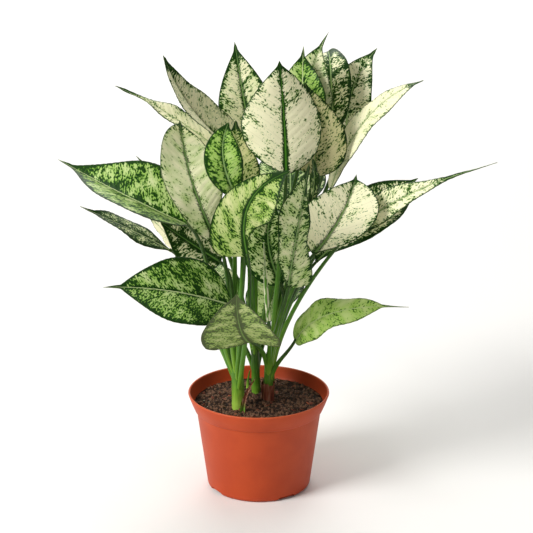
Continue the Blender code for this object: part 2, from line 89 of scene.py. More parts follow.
stepKinds = {
    "point": ("ShaderNodeCombineXYZ", (0, 1, 2), 0, {}),
    "split": ("ShaderNodeSeparateXYZ", (0,), None, {}),
    "noise": ("ShaderNodeTexNoise", ("Vector", "Scale", "Detail", "Roughness"), 0, {}),
    "mix": ("ShaderNodeMix", (0, 6, 7), 2, {"data_type": "RGBA"}),
    "band": ("ShaderNodeMapRange", (0, 1, 2, 3, 4), 0, {"interpolation_type": "SMOOTHSTEP"}),
}


def isVector(part):
    return isinstance(part, tuple) or isinstance(part, Field) and part.socket.type in ("VECTOR", "RGBA")


def step(work, *parts):
    # One step on fields and numbers: a kind above, or else Math, or Vector Math where a part is a vector.
    # mix takes a share and two colours; band a value, its two ends and what they become
    vectors = [part for part in parts if isVector(part)]
    slots, output, settings = (0, 1, 2), 0, {"operation": work}
    if work in stepKinds:
        kind, slots, output, settings = stepKinds[work]
    elif vectors and work == "MULTIPLY" and len(vectors) < len(parts):
        kind, slots, settings = "ShaderNodeVectorMath", (0, 3), {"operation": "SCALE"}
    else:
        kind = "ShaderNodeVectorMath" if vectors else "ShaderNodeMath"
    tree = next(part.socket.id_data for part in parts if isinstance(part, Field))
    return addNode(tree, kind, dict(zip(slots, parts)), output, **settings)


def newTree(name, numbers="", vectors="", counts="", materials="", shapes=""):
    # A Geometry Nodes tree with a named input for each value, and those inputs as fields
    tree = bpy.data.node_groups.new(name, "GeometryNodeTree")
    kinds = dict(
        Geometry="geometry", Float=numbers, Vector=vectors, Int=counts, Material=materials, Object=shapes)
    for kind, names in kinds.items():
        for inputName in names.split():
            tree.interface.new_socket(inputName, in_out="INPUT", socket_type="NodeSocket" + kind)
    tree.interface.new_socket("geometry", in_out="OUTPUT", socket_type="NodeSocketGeometry")
    fields = addNode(tree, "NodeGroupInput", output=None)
    return tree, SimpleNamespace(**{field.socket.name: field for field in fields if field.socket.name})


def newGrid(tree, own):
    # A flat sheet of own.rows by own.columns, its share along and its share across from -0.5 to 0.5
    sides = {"Size X": 1.0, "Size Y": 1.0, "Vertices X": own.rows, "Vertices Y": own.columns}
    along, across, _ = step("split", addNode(tree, "GeometryNodeInputPosition"))
    return addNode(tree, "GeometryNodeMeshGrid", sides), along + 0.5, across


def placePoints(geometry, place, **fields):
    # Keeps fields on the points under their names, then moves the points
    for name, field in fields.items():
        kind = "FLOAT_VECTOR" if isVector(field) else "FLOAT"
        geometry = geometry.into(
            "StoreNamedAttribute", {"Name": name, "Value": field}, data_type=kind, domain="POINT")
    return geometry.into("SetPosition", {"Position": place})


def endTree(tree, parts, gap=None, material=None):
    # Every tree ends in Realize Instances, and in Set Material where its parts have none yet
    geometry = addNode(tree, "GeometryNodeJoinGeometry", {0: parts})
    if gap:
        geometry = geometry.into("MergeByDistance", {"Distance": gap})
    geometry = geometry.into("RealizeInstances")
    if material:
        geometry = geometry.into("SetMaterial", {"Material": material})
    addNode(tree, "NodeGroupOutput", {0: geometry})
    return tree


# Pieces and materials

def addPiece(name, mesh=None):
    piece = bpy.data.objects.new(name, mesh or bpy.data.meshes.new(name))
    scene.collection.objects.link(piece)
    return piece


def shapedPiece(name, shape):
    # A piece with the mesh of a finished bmesh
    piece = addPiece(name)
    shape.to_mesh(piece.data)
    shape.free()
    return piece


def bakedMesh(piece):
    # What the modifiers of a piece make, as a plain mesh
    bpy.context.view_layer.update()
    graph = bpy.context.evaluated_depsgraph_get()
    return bpy.data.meshes.new_from_object(piece.evaluated_get(graph), depsgraph=graph)


def growPiece(name, tree, runs, source=None):
    # Runs a tree once for each set of values, all in one plain mesh
    source = source or addPiece(name)
    for values in runs:
        modifier = source.modifiers.new("Grow", "NODES")
        modifier.node_group = tree
        for item in tree.interface.items_tree:
            if item.in_out == "INPUT" and item.name in values:
                value = values[item.name]
                modifier[item.identifier] = float(value) if item.socket_type == "NodeSocketFloat" else value
    mesh = bakedMesh(source)
    bpy.data.objects.remove(source)
    mesh.name = name
    mesh.shade_smooth()
    return addPiece(name, mesh)


def settle(piece, slot, *nodes):
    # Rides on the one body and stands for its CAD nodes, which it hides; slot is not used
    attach(piece, "root")
    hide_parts(*nodes)


def newMaterial(name):
    # A material, its tree and the place on the piece
    material = bpy.data.materials.new(name)
    material.use_nodes = True
    material.node_tree.nodes.clear()
    return material, material.node_tree, addNode(material.node_tree, "ShaderNodeTexCoord", output="Object")


def coats(look, colour, *rows):
    # Colours over one another. Each row is a colour and its share, or the ends of a band of that field
    for name, share, *ends in rows:
        coat = look[name] if isinstance(name, str) else name
        colour = step("mix", step("band", share, *ends) if ends else share, colour, coat)
    return colour


def finishMaterial(material, colour, relief, roughness, gloss=0.5, strength=0.0, depth=0.0):
    # A surface in a look is its roughness, its gloss, and the strength and millimetres of its fine relief
    tree = material.node_tree
    inputs = {"Base Color": colour, "Roughness": roughness, "Specular IOR Level": gloss}
    if relief:
        bump = {"Strength": strength, "Distance": depth * mm, "Height": relief}
        inputs["Normal"] = addNode(tree, "ShaderNodeBump", bump)
    addNode(tree, "ShaderNodeOutputMaterial", {"Surface": addNode(tree, "ShaderNodeBsdfPrincipled", inputs)})
    return material


# Camera, floor and light

view = dict(place=(0.0085, -2.2, 1.01), lookDown=18.98, lens=145.8)
print("stage")
camera = bpy.data.objects.new("camera", bpy.data.cameras.new("camera"))
camera.location = view["place"]
camera.rotation_euler = (radians(90 - view["lookDown"]), 0, 0)
camera.data.lens = view["lens"]
scene.collection.objects.link(camera)
scene.camera = camera

stage = dict(size=6.0, floor="#F4F2EE", roughness=0.9, air="#FFFFFF", airStrength=0.22)
floorShape = bmesh.new()
bmesh.ops.create_grid(floorShape, x_segments=1, y_segments=1, size=stage["size"])
floor = shapedPiece("floor", floorShape)
paint = finishMaterial(newMaterial("paintedFloor")[0], stage["floor"], None, stage["roughness"])
floor.data.materials.append(paint)
world = bpy.data.worlds.new("studioAir")
world.use_nodes = True
air = world.node_tree.nodes["Background"].inputs
air["Color"].default_value = hexColour(stage["air"])
air["Strength"].default_value = stage["airStrength"]
scene.world = world
scene.view_settings.view_transform = "Standard"

softBoxes = {
    "key": dict(place=(-1.9, -1.3, 1.9), aim=(0, 0, 0.28), size=1.2, power=80),
    "fill": dict(place=(1.6, -2.0, 1.4), aim=(0, 0, 0.28), size=1.6, power=4),
    "top": dict(place=(0.2, 0.7, 2.4), aim=(0, 0, 0.28), size=1.6, power=18),
    "back": dict(place=(0.0, 3.4, 2.2), aim=(0, 2.6, 0), size=2.6, power=75),
}
for boxName, box in softBoxes.items():
    light = bpy.data.lights.new(boxName, "AREA")
    light.size = box["size"]
    light.energy = box["power"]
    lamp = bpy.data.objects.new(boxName, light)
    lamp.location = box["place"]
    lamp.rotation_euler = (Vector(box["aim"]) - lamp.location).to_track_quat("-Z", "Y").to_euler()
    scene.collection.objects.link(lamp)


# Leaves: the same midribs, facings and widths as the solids, in millimetres and degrees

# One look value is painted shade: it darkens the leaves that lie in shade towards a dull olive
leafForm = dict(
    fold=10, twist=0, roll=0, curl=15, wave=1, waves=2.5, tail=0.03, skew=0, risePower=0.62, fallPower=1.1,
    fleck=0.5, lime=0.3, deep=0.5, dusk=0.0, rib=0.6)


def leaf(cane, slot, base, middle, tip, faces, width, fleck, lime, deep, **own):
    # Its cane and finish, three points of its midrib, where it faces, its width and how green it is
    return {
        **leafForm, "cane": cane, "slot": "leaf_" + slot, "base": base, "middle": middle, "tip": tip,
        "faces": faces, "width": width, "fleck": fleck, "lime": lime, "deep": deep, **own}


leaves = {
    "far_left": leaf("left", "mottled", (-74, -40, 313), (-150, -20, 345), (-216, 40, 362), (25, 50), 100,
        0.9, 0.8, 0.95, fold=32, twist=25, roll=-8, tail=0.1, skew=0.05, fallPower=1.35, rib=0.2),
    "far_left_low": leaf("left", "dark", (-93, -5, 273), (-141, -15, 303), (-188, -25, 329), (0, 82), 48,
        1.05, 0.4, 1.0, wave=2, waves=1.5, tail=0.14, risePower=1.1, fallPower=1, rib=0.1),
    "low_left": leaf("left", "mottled", (-28, -72, 235), (-91, -105, 263), (-158, -125, 274), (0, 53), 88,
        0.95, 0.85, 0.9, fold=15, tail=0.12, skew=-0.2, risePower=0.65, fallPower=0.95, rib=0.2),
    "left_tall": leaf("left", "cream", (-39, -60, 293), (-67, -62, 363), (-83, 5, 415), (30, 20), 68, 0.34,
        0.42, 0.5, fold=8, curl=0, wave=2, risePower=1.15, fallPower=0.75, rib=0.85),
    "young": leaf("left", "green", (-21, -72, 351), (-36, -76, 397), (-30, -66, 432), (0, 20), 40, 0.72,
        0.95, 0.7, fold=15, risePower=0.9, fallPower=1, rib=0.7),
    "centre_folded": leaf("left", "mottled", (-11, -87, 294), (-9, -99, 356), (33, -120, 396), (-35, 25),
        80, 0.7, 0.72, 0.7, fold=18, skew=0.8, risePower=0.75, share=0.45, outward=0.6, dusk=0.45,
        rib=0.95),
    "upper_left": leaf("left", "cream", (-22, 22, 373), (-70, 18, 423), (-99, 8, 484), (65, 45), 77, 0.42,
        0.1, 0.6, fold=28, twist=30, skew=-0.5, rib=0.7),
    "far_upper_left": leaf("left", "cream", (-38, 45, 367), (-93, 45, 409), (-153, 45, 442), (55, 58), 42,
        0.3, 0.2, 0.6, fold=12, wave=2, tail=0.08, skew=0.2, fallPower=1.7, rib=0.5),
    "behind_left": leaf("left", "dark", (-41, 7, 256), (-75, -1, 282), (-104, -11, 307), (0, 35), 50, 0.9,
        0.2, 0.9, rib=0.9),
    "edge_left": leaf("left", "cream", (-89, 28, 254), (-100, 34, 277), (-121, 42, 298), (-82, 20), 40, 0.2,
        0.1, 0.4),
    "spike_left": leaf("left", "dark", (-76, 42, 303), (-104, 48, 332), (-133, 54, 362), (0, 60), 21, 0.9,
        0.5, 1.0, tail=0.2),
    "front_low": leaf("right", "mottled", (-9, -66, 192), (-19, -112, 227), (-22, -147, 275), (180, 40), 86,
        0.85, 0.8, 0.8, fold=-12, skew=0.12, risePower=0.7, fallPower=0.9, share=0.65, dusk=0.3, rib=0.9),
    "hero": leaf("right", "cream", (29, -25, 365), (27, 0, 418), (22, 10, 478), (22, 30), 92, 0.38, 0.05,
        0.65, fold=5, curl=32, risePower=0.78, fallPower=1, rib=1.0),
    "sliver": leaf("right", "dark", (56, -22, 330), (59, -20, 357), (57, -16, 379), (60, 20), 22, 0.8, 0.5,
        0.9),
    "right_front": leaf("right", "cream", (58, -36, 279), (87, -28, 319), (105, 20, 351), (10, 50), 76,
        0.42, 0.1, 0.6, fold=26, tail=0.06, skew=0.35, risePower=1, fallPower=1, rib=0.8),
    "right_low": leaf("right", "green", (39, -20, 175), (80, -42, 216), (159, -55, 227), (0, 60), 48, 0.45,
        0.85, 0.3, fold=8, wave=3, tail=0.15, skew=0.15, risePower=0.45, fallPower=0.75, dusk=0.35,
        rib=0.4),
    "centre_waved": leaf("right", "mottled", (31, -65, 251), (40, -76, 315), (52, -88, 394), (30, 20), 52,
        0.6, 0.55, 0.6, fold=12, wave=5, waves=2, skew=-0.8, risePower=0.5, rib=0.7),
    "centre_dark": leaf("right", "dark", (24, -12, 237), (10, -9, 287), (19, -6, 330), (0, 20), 56, 0.85,
        0.6, 0.9, rib=0.8),
    "behind_young": leaf("back", "olive", (-15, -8, 336), (-22, -2, 373), (-24, 12, 413), (0, 30), 44, 0.6,
        0.4, 0.5, dusk=0.6),
    "top_left": leaf("back", "mottled", (-6, 60, 367), (-17, 70, 426), (-26, 85, 481), (0, 20), 60, 0.62,
        0.3, 0.8, fold=18, tail=0.06, rib=0.8),
    "top_a": leaf("back", "green", (49, 38, 400), (47, 47, 444), (48, 55, 483), (-20, 20), 54, 0.75, 0.9,
        0.6, fold=15, tail=0.12, rib=0.1),
    "top_b": leaf("back", "cream", (59, 52, 391), (56, 60, 445), (75, 70, 495), (-20, 20), 55, 0.4, 0.3,
        0.5, fold=15, tail=0.14),
    "top_c": leaf("back_right", "dark", (82, 84, 379), (78, 94, 450), (77, 157, 453), (-5, 20), 44, 0.95,
        0.1, 0.8, fold=12),
    "top_d": leaf("back_right", "mottled", (97, 100, 378), (104, 107, 425), (130, 119, 466), (-25, 20), 55,
        0.65, 0.1, 0.7, fold=15, tail=0.06),
    "olive": leaf("back_right", "olive", (59, 11, 352), (60, 24, 397), (49, 25, 451), (10, 20), 70, 0.6,
        0.2, 0.6, fold=5, outward=0.2, dusk=0.6),
    "right_long": leaf("back_right", "cream", (78, 46, 325), (115, 47, 404), (176, 47, 448), (-70, 38), 52,
        0.3, 0.15, 0.5, tail=0.06, skew=0.25, fallPower=0.85, outward=0),
    "right_tail": leaf("back_right", "cream", (96, -3, 291), (160, -13, 339), (250, -28, 378), (-30, 62),
        46, 0.55, 0.2, 0.6, fold=15, tail=0.25, share=0.25, outward=0, neck=8),
    "right_dark": leaf("back_right", "dark", (62, 13, 254), (118, 33, 301), (174, 59, 335), (-22, 52), 69,
        0.85, 0.2, 1.0, fold=18, tail=0.04, skew=0.2, risePower=1.1, fallPower=1, outward=0.05, rib=0.7),
    "back_left": leaf("back", "mottled", (-56, 90, 300), (-85, 150, 334), (-108, 205, 325), (180, 45), 70,
        0.6, 0.6, 0.6, tail=0.1),
    "back_middle": leaf("back", "dark", (34, 78, 290), (35, 140, 325), (31, 205, 335), (180, 45), 80, 0.9,
        0.6, 0.9, tail=0.1),
    "back_right": leaf("back_right", "mottled", (79, 92, 265), (99, 140, 281), (112, 185, 264), (150, 50),
        70, 0.6, 0.5, 0.6, tail=0.1, outward=0.1),
    "back_low_left": leaf("back", "dark", (-36, 58, 180), (-52, 105, 211), (-66, 150, 217), (180, 55), 70,
        0.8, 0.5, 0.9, fold=8, tail=0.1),
    "back_low": leaf("back", "mottled", (11, 52, 170), (20, 100, 200), (26, 150, 205), (180, 50), 70, 0.65,
        0.7, 0.6, fold=8, tail=0.1),
    "back_low_right": leaf("back_right", "green", (33, 68, 247), (47, 118, 268), (61, 168, 255), (140, 50),
        64, 0.5, 0.9, 0.5, fold=8, tail=0.1),
}
leafMesh = dict(
    cell=1.5, crowding=0.06, centring=1.25, thickness=0.5, ribHeight=1.3, ribWidth=1.5, grooveDepth=0.5,
    dripHalfWidth=2.1, bluntTip=0.12, lowerPhase=1.9, veinSpacing=8.5, veinSlant=0.8, veinDepth=0.45,
    veinSharpness=6.0, unevenSize=38, uneven=1.8)


def leafTree():
    # A grid bent along a curved midrib, folded, curled and waved, with sunk veins and a raised rib below
    form = leafMesh
    tree, own = newTree(
        "leafBlade",
        numbers="widthScale length fold curl twist roll wave waves tail skew risePower fallPower seed fleck "
        "lime deep dusk rib", vectors="base middle tip faces", counts="rows columns", materials="upper under")
    grid, u, gridAcross = newGrid(tree, own)
    t = u - step("SINE", u * fullTurn) * form["crowding"]
    gridV = gridAcross * 2.0
    hand = step("SIGN", gridV)
    out = step("ABSOLUTE", gridV) ** form["centring"]
    v = hand * out
    # the midrib, a quadratic curve through its three points, and the frame that turns along it
    control = own.middle * 2.0 - (own.base + own.tip) * 0.5
    first = own.base + (control - own.base) * t
    chord = control + (own.tip - control) * t - first
    midrib = first + chord * t
    tangent = step("NORMALIZE", chord)
    flatSide = step("NORMALIZE", step("CROSS_PRODUCT", tangent, own.faces))
    flatNormal = step("CROSS_PRODUCT", flatSide, tangent)
    turn = (t - 0.5) * own.twist + own.roll
    turnCos, turnSin = step("COSINE", turn), step("SINE", turn)
    side = flatSide * turnCos + flatNormal * turnSin
    normal = flatNormal * turnCos - flatSide * turnSin
    # half the width: a round base, a long point and a drip tip
    remaining = 1.0 - t
    along = step("MINIMUM", t / (1.0 - own.tail), 1.0) ** step("EXPONENT", own.skew * hand)
    body = along ** own.risePower * (1.0 - along) ** own.fallPower * own.widthScale
    drip = step("MINIMUM", remaining / step("MAXIMUM", own.tail, 0.02), 1.0) * (form["dripHalfWidth"] * mm)
    half = step("SQRT", body * body + drip * drip + (form["bluntTip"] * mm) ** 2)
    # the section: folded at the midrib, curled down outward, waved at the margin
    slope = own.fold - own.curl * 0.5 * out
    halfV = half * v
    width = half * out
    belly = step("SINE", t * pi)
    phase = step("LESS_THAN", v, 0.0) * form["lowerPhase"]
    waving = step("SINE", own.waves * fullTurn * t + phase) * (out * out * belly * own.wave)
    # veins that leave the midrib on a slant, sunk a little between pillows of blade
    run = t * own.length
    veinTurns = (run - width * form["veinSlant"]) * (pi / (form["veinSpacing"] * mm))
    vein = step("ABSOLUTE", step("COSINE", veinTurns)) ** form["veinSharpness"] * belly
    ribPlace = width / (form["ribWidth"] * mm)
    rib = step("EXPONENT", ribPlace * ribPlace * -1.0) * remaining
    uneven = step("noise", step("point", run, halfV, own.seed), 1 / (form["unevenSize"] * mm), 1.0) - 0.5
    lift = width * slope + waving - vein * (form["veinDepth"] * mm) - rib * (form["grooveDepth"] * mm)
    lift = lift + uneven * (out * (form["uneven"] * 2 * mm))
    place = midrib + side * (halfV * step("COSINE", slope)) + normal * lift
    depth = rib * (form["ribHeight"] * mm) + form["thickness"] * mm
    # leafMood keeps the leaf's share of painted shade, how green its rib is and its share along
    geometry = placePoints(
        grid, place, leafMap=step("point", run, halfV, half - width),
        leafTone=step("point", own.fleck, own.lime, own.deep), leafMood=step("point", own.dusk, own.rib, t),
        leafSeed=own.seed, leafBelow=normal * (depth * -1.0))
    below = addNode(
        tree, "GeometryNodeInputNamedAttribute", {"Name": "leafBelow"}, data_type="FLOAT_VECTOR")
    lower = geometry.into(
        "ExtrudeMesh", {"Offset": below, "Offset Scale": 1.0, "Individual": False}, mode="FACES")
    lower = lower.into("SetMaterial", {"Material": own.under})
    upper = geometry.into("FlipFaces").into("SetMaterial", {"Material": own.upper})
    return endTree(tree, [lower, upper, own.geometry], gap=0.000001)


# The olive tint that shaded leaves are multiplied by is painted shade
variegation = dict(
    fleckSize=(3.4, 1.7, 3.0, 0.62), clusterSize=(20, 10, 1.0, 0.5), veinAngle=50, marginReach=7.0,
    ribReach=7.0, rimLine=1.3, ragged=14, featherLeast=0.6, featherMost=3.4, featherBlur=0.7, ribLine=1.3,
    surface=(0.45, 0.13, 0.12, 0.3), underSurface=(0.6, 0.13, 0.12, 0.3), grainScale=900.0, handShift=3.7,
    creamTissue="#F2EEC6", limeTissue="#97BA58", fresh="#6C9C33", leafGreen="#437A17", deepGreen="#193A0A",
    ribGreen="#477F20", ribPale="#C9D69B", vein="#B4B084", duskTint="#BFB886", underTint="#A9AE7C")


def leafMaterial(name, under):
    # Living leaf: a waxy skin over cream tissue, with green cells in flecks that run along the side veins.
    # The flecks and their clusters have a length, a width, a detail and a roughness
    material, tree, skin = newMaterial(name)
    look = variegation
    (along, across, edge), (fleck, lime, deep), (dusk, rib, share) = (
        step("split", addNode(tree, "ShaderNodeAttribute", output="Vector", attribute_name=kept))
        for kept in ("leafMap", "leafTone", "leafMood"))
    seed = addNode(tree, "ShaderNodeAttribute", output="Fac", attribute_name="leafSeed")
    out, hand = step("ABSOLUTE", across), step("SIGN", across)
    angle = radians(look["veinAngle"])
    veinRun = along * cos(angle) + out * sin(angle)
    veinGap = out * cos(angle) - along * sin(angle)
    place = hand * look["handShift"] + seed
    fleckNoise, clusterNoise = (
        step("noise", step("point", veinRun / (long * mm), veinGap / (wide * mm), place), 1.0, *grain)
        for long, wide, *grain in (look["fleckSize"], look["clusterSize"]))
    cluster = clusterNoise - 0.5
    # how green it is: more in clusters, at the margin, along the midrib and at the tip
    margin = step("band", edge, 0.0, look["marginReach"] * mm, 1.0, 0.0)
    nearRib = step("band", out, 0.0, look["ribReach"] * mm, 1.0, 0.0)
    nearTip = step("band", share, 0.84, 1.0, 0.0, 0.22)
    level = cluster * 0.42 + fleckNoise + margin * deep * 0.2 + nearRib * deep * 0.12 + nearTip
    level = (fleck - 0.62) * 0.24 + level
    # cream tissue, lime where some green cells lie under it, and painted shade along the sunk side veins
    veinTurns = (along - out * leafMesh["veinSlant"]) * (pi / (leafMesh["veinSpacing"] * mm))
    vein = step("ABSOLUTE", step("COSINE", veinTurns))
    # a dark line round the margin, a ragged dark band along the midrib and the midrib itself
    ragged = (fleckNoise - 0.5) * (look["ragged"] * mm)
    rimLine = look["rimLine"] * mm
    rim = step("band", ragged * 0.16 + edge, 0.45 * rimLine, rimLine, 1.0, 0.0) * (deep * 1.2 + 0.25)
    taper = 1.1 - share
    ribDark = step("band", rib, 0.35, 1.0)
    featherRange = (look["featherMost"] - look["featherLeast"]) * mm
    featherEnd = (ribDark * featherRange + look["featherLeast"] * mm) * taper
    feather = step("band", out + ragged, featherEnd, featherEnd + look["featherBlur"] * mm, 1.0, 0.0)
    ribEnd = taper * (look["ribLine"] * mm)
    colour = coats(
        look, look["creamTissue"], ("limeTissue", cluster * 1.1 + lime, 0.0, 1.0),
        ("vein", vein, 0.95, 1.0, 0.0, 0.16), ("fresh", level, 0.52, 0.56, 0.0, 0.55),
        ("leafGreen", level, 0.56, 0.58), ("deepGreen", level, 0.585, 0.625), ("deepGreen", rim),
        ("deepGreen", feather * ribDark),
        (coats(look, look["ribPale"], ("ribGreen", rib)), out, ribEnd * 0.5, ribEnd, 1.0, 0.0))
    # painted shade: leaves that lie in shade are multiplied towards a dull olive
    colour = colour * coats(look, "#FFFFFF", ("duskTint", dusk))
    if under:
        colour = coats(look, colour, ("underTint", 0.18))
    grain = step("noise", skin, look["grainScale"], 2.0)
    return finishMaterial(material, colour, grain, *look["underSurface" if under else "surface"])


def leafValues(leaf, number, **own):
    # What the tree asks for, in metres and radians
    points = {end: Vector(leaf[end]) for end in ("base", "middle", "tip")}
    length = (points["middle"] - points["base"]).length + (points["tip"] - points["middle"]).length
    angles = {name: radians(leaf[name]) for name in ("fold", "curl", "twist", "roll")}
    bearing, rise = (radians(angle) for angle in leaf["faces"])
    faces = Vector((sin(bearing) * cos(rise), -cos(bearing) * cos(rise), sin(rise)))
    up, down = leaf["risePower"], leaf["fallPower"]
    fullest = (up / (up + down)) ** up * (down / (up + down)) ** down
    return {
        **leaf, **angles, **{end: point * mm for end, point in points.items()}, "faces": faces,
        "widthScale": leaf["width"] / 2 / fullest * mm, "length": length * mm, "wave": leaf["wave"] * mm,
        "seed": 11.3 * number, "rows": int(length / leafMesh["cell"]),
        "columns": 2 * int(leaf["width"] / leafMesh["cell"] / 2) + 1, **own}


print("leaves")
bladeTree = leafTree()
skins = dict(upper=leafMaterial("waxyLeafUpper", False), under=leafMaterial("waxyLeafUnder", True))
for number, (name, own) in enumerate(leaves.items()):
    blade = growPiece("leaf_blade_" + name, bladeTree, [leafValues(own, number, **skins)])
    settle(blade, own["slot"], "leaf_" + name)


# Stems: a cane for each clump, and a stalk for each leaf that leaves it upward and outward

canes = {
    "left": dict(foot=(-22, -20), top=(-23, -22, 144), radius=7.6, outward=0.4, tone=0.0),
    "right": dict(foot=(10, 0), top=(11, -2, 142), radius=5.6, outward=0.12, tone=0.35),
    "back": dict(foot=(-3, 24), top=(-4, 26, 145), radius=5.2, outward=0.15, tone=0.6),
    "back_right": dict(foot=(12, 22), top=(13, 24, 143), radius=5.6, outward=0.12, tone=0.5),
}
stemForm = dict(
    soilHeight=95.5, depth=30, caneTopShare=0.85, footRadius=3.2, tipRadius=1.7, sideShare=0.35, reach=0.4,
    neck=30, steepestLean=1.2, lowestShare=0.2, intoBlade=2.0, capRows=3, grooveAngle=0.55,
    jointSharpness=6.0, unevenSize=14)
plainTube = dict(
    flare=0.0, flareReach=0.1, groove=0.0, joints=0, swell=0.0, uneven=0.1, grooveSide=Vector((0, -1, 0)))
caneTube = dict(joints=4, swell=0.05, rows=70, columns=40)
stalkTube = dict(flare=-0.5, flareReach=0.09, groove=0.3, rows=54, columns=20)
stemSlots = {"leaf_cream": 0.25, "leaf_mottled": 0.4, "leaf_green": 0.35, "leaf_dark": 0.7, "leaf_olive": 0.5}


def stemTree():
    # A tube along a cubic curve with domed ends, a flared foot, a groove on one side and swollen joints
    form = stemForm
    tree, own = newTree(
        "fleshyTube",
        numbers="length footRadius topRadius flare flareReach groove joints swell uneven seed tone",
        vectors="start firstHandle secondHandle end grooveSide", counts="rows columns", materials="skin")
    grid, u, turn = newGrid(tree, own)
    capShare = step("DIVIDE", float(form["capRows"]), own.rows - (1 + 2.0 * form["capRows"]))
    free = u * (capShare * 2.0 + 1.0) - capShare
    t = step("MINIMUM", step("MAXIMUM", free, 0.0), 1.0)
    dome = (free - t) / capShare
    # the curve, by halving between its four points
    points = [own.start, own.firstHandle, own.secondHandle, own.end]
    while len(points) > 2:
        points = [low + (high - low) * t for low, high in zip(points, points[1:])]
    chord = points[1] - points[0]
    centre = points[0] + chord * t
    tangent = step("NORMALIZE", chord)
    side = step("NORMALIZE", step("CROSS_PRODUCT", tangent, own.grooveSide))
    front = step("CROSS_PRODUCT", side, tangent)
    angle = turn * fullTurn
    angleCos, angleSin = step("COSINE", angle), step("SINE", angle)
    run = t * own.length
    # the radius: tapered, flared at the foot, grooved, ringed at the joints and a little uneven
    flare = step("EXPONENT", t / own.flareReach * -1.0) * own.flare + 1.0
    foot = ((own.topRadius - own.footRadius) * t + own.footRadius) * flare
    grooveRun = angle / form["grooveAngle"]
    groove = 1.0 - step("EXPONENT", grooveRun * grooveRun * -1.0) * own.groove
    ring = 1.0 - step("ABSOLUTE", step("SINE", own.joints * t * pi))
    joint = ring ** form["jointSharpness"] * own.swell + 1.0
    spot = step("point", angleCos, angleSin, run * (1 / (form["unevenSize"] * mm)) + own.seed)
    uneven = (step("noise", spot, 1.0, 2.0) - 0.5) * own.uneven + 1.0
    domeRound = step("SQRT", step("MAXIMUM", dome * dome * -1.001 + 1.0, 0.0))
    radius = foot * groove * joint * uneven * domeRound
    place = centre + (front * (radius * angleCos) + side * (radius * angleSin) + tangent * (foot * dome))
    geometry = placePoints(
        grid, place, stemMap=step("point", run, angle, own.seed), stemTone=step("point", t, own.tone))
    geometry = geometry.into("FlipFaces").into("MergeByDistance", {"Distance": 0.00001})
    return endTree(tree, [geometry.into("SetMaterial", {"Material": own.skin}), own.geometry])


stemLook = dict(
    foot="#A2C94E", low="#82B034", middle="#4A7D1C", top="#26480F", streak="#B4CC78", bruise="#5D6B2A",
    streakAround=2.6, streakLength=26, surface=(0.42, 0.3, 0.35, 0.5))


def stemMaterial():
    # Fleshy stalk: satin and juicy, pale lime at its foot, darker green upward, with fine fibres along it
    material, tree, _ = newMaterial("satinStalkSkin")
    look = stemLook
    (run, angle, seed), (share, tone, _) = (
        step("split", addNode(tree, "ShaderNodeAttribute", output="Vector", attribute_name=kept))
        for kept in ("stemMap", "stemTone"))
    around = look["streakAround"]
    spot = step(
        "point", step("COSINE", angle) * around, step("SINE", angle) * around,
        run / (look["streakLength"] * mm) + seed)
    streaks, patches = step("noise", spot, 1.6, 4.0), step("noise", spot, 0.7, 1.0)
    grade = tone * 0.55 + ((patches - 0.5) * 0.45 + share)
    colour = coats(
        look, look["foot"], ("low", grade, 0.0, 0.22),
        (coats(look, look["middle"], ("top", grade, 0.5, 1.0)), grade, 0.12, 0.5),
        ("streak", streaks, 0.56, 0.72, 0.0, 0.35), ("bruise", streaks, 0.44, 0.3, 0.0, 0.45))
    return finishMaterial(material, colour, streaks, *look["surface"])


def tubeRun(start, firstHandle, secondHandle, end, footRadius, topRadius, **own):
    # The values of one tube, in metres
    sizes = dict(
        start=start, firstHandle=firstHandle, secondHandle=secondHandle, end=end, footRadius=footRadius,
        topRadius=topRadius, length=(end - start).length)
    return {**plainTube, **own, **{name: size * mm for name, size in sizes.items()}, "skin": stalkSkin}


def caneRun(cane, seed):
    foot, top = Vector((*cane["foot"], stemForm["soilHeight"])), Vector(cane["top"])
    start = foot - Vector((0, 0, stemForm["depth"]))
    return tubeRun(
        start, start.lerp(foot, 0.8), foot.lerp(top, 0.4), top, cane["radius"],
        cane["radius"] * stemForm["caneTopShare"], seed=seed, tone=cane["tone"] - 0.8, **caneTube)


def stalkRun(leaf, seed):
    form, cane = stemForm, canes[leaf["cane"]]
    foot, top = Vector((*cane["foot"], form["soilHeight"])), Vector(cane["top"])
    base, middle, tip = (Vector(leaf[end]) for end in ("base", "middle", "tip"))
    outward = Vector((base.x - top.x, base.y - top.y, 0))
    lean = atan2(outward.length, base.z - top.z)
    share = leaf.get("share") or 1 - min(1.0, lean / form["steepestLean"]) * (1 - form["lowestShare"])
    outward.normalize()
    start = foot.lerp(top, share) + outward * cane["radius"] * form["sideShare"]
    direction = (2 * middle - (base + tip) / 2 - base).normalized()
    end = base + direction * form["intoBlade"]
    reach = form["reach"] * (end - start).length
    rise = (Vector((0, 0, 1)) + outward * leaf.get("outward", cane["outward"])).normalized()
    return tubeRun(
        start, start + rise * reach, end - direction * min(reach, leaf.get("neck", form["neck"])), end,
        form["footRadius"], form["tipRadius"], seed=seed, tone=stemSlots[leaf["slot"]],
        grooveSide=-outward + Vector((0, 0, 0.01)), **stalkTube)


newLeaf = dict(
    cane="right", base=(11, -45, 208), middle=(8, -47, 250), tip=(6, -49, 297), slot="leaf_cream",
    radius=3.0, tipRadius=0.8)

print("stems")
stalkSkin = stemMaterial()
tubeTree = stemTree()
for caneName, cane in canes.items():
    runs = [caneRun(cane, 5.1 * len(caneName))]
    for number, own in enumerate([*leaves.values(), newLeaf]):
        if own["cane"] == caneName:
            runs.append(stalkRun(own, 3.7 * number))
    settle(growPiece("stem_clump_" + caneName, tubeTree, runs), "stem", "stems_" + caneName)


# Pot: a turned plastic shell with a flared collar, a rolled lip and notches in its foot

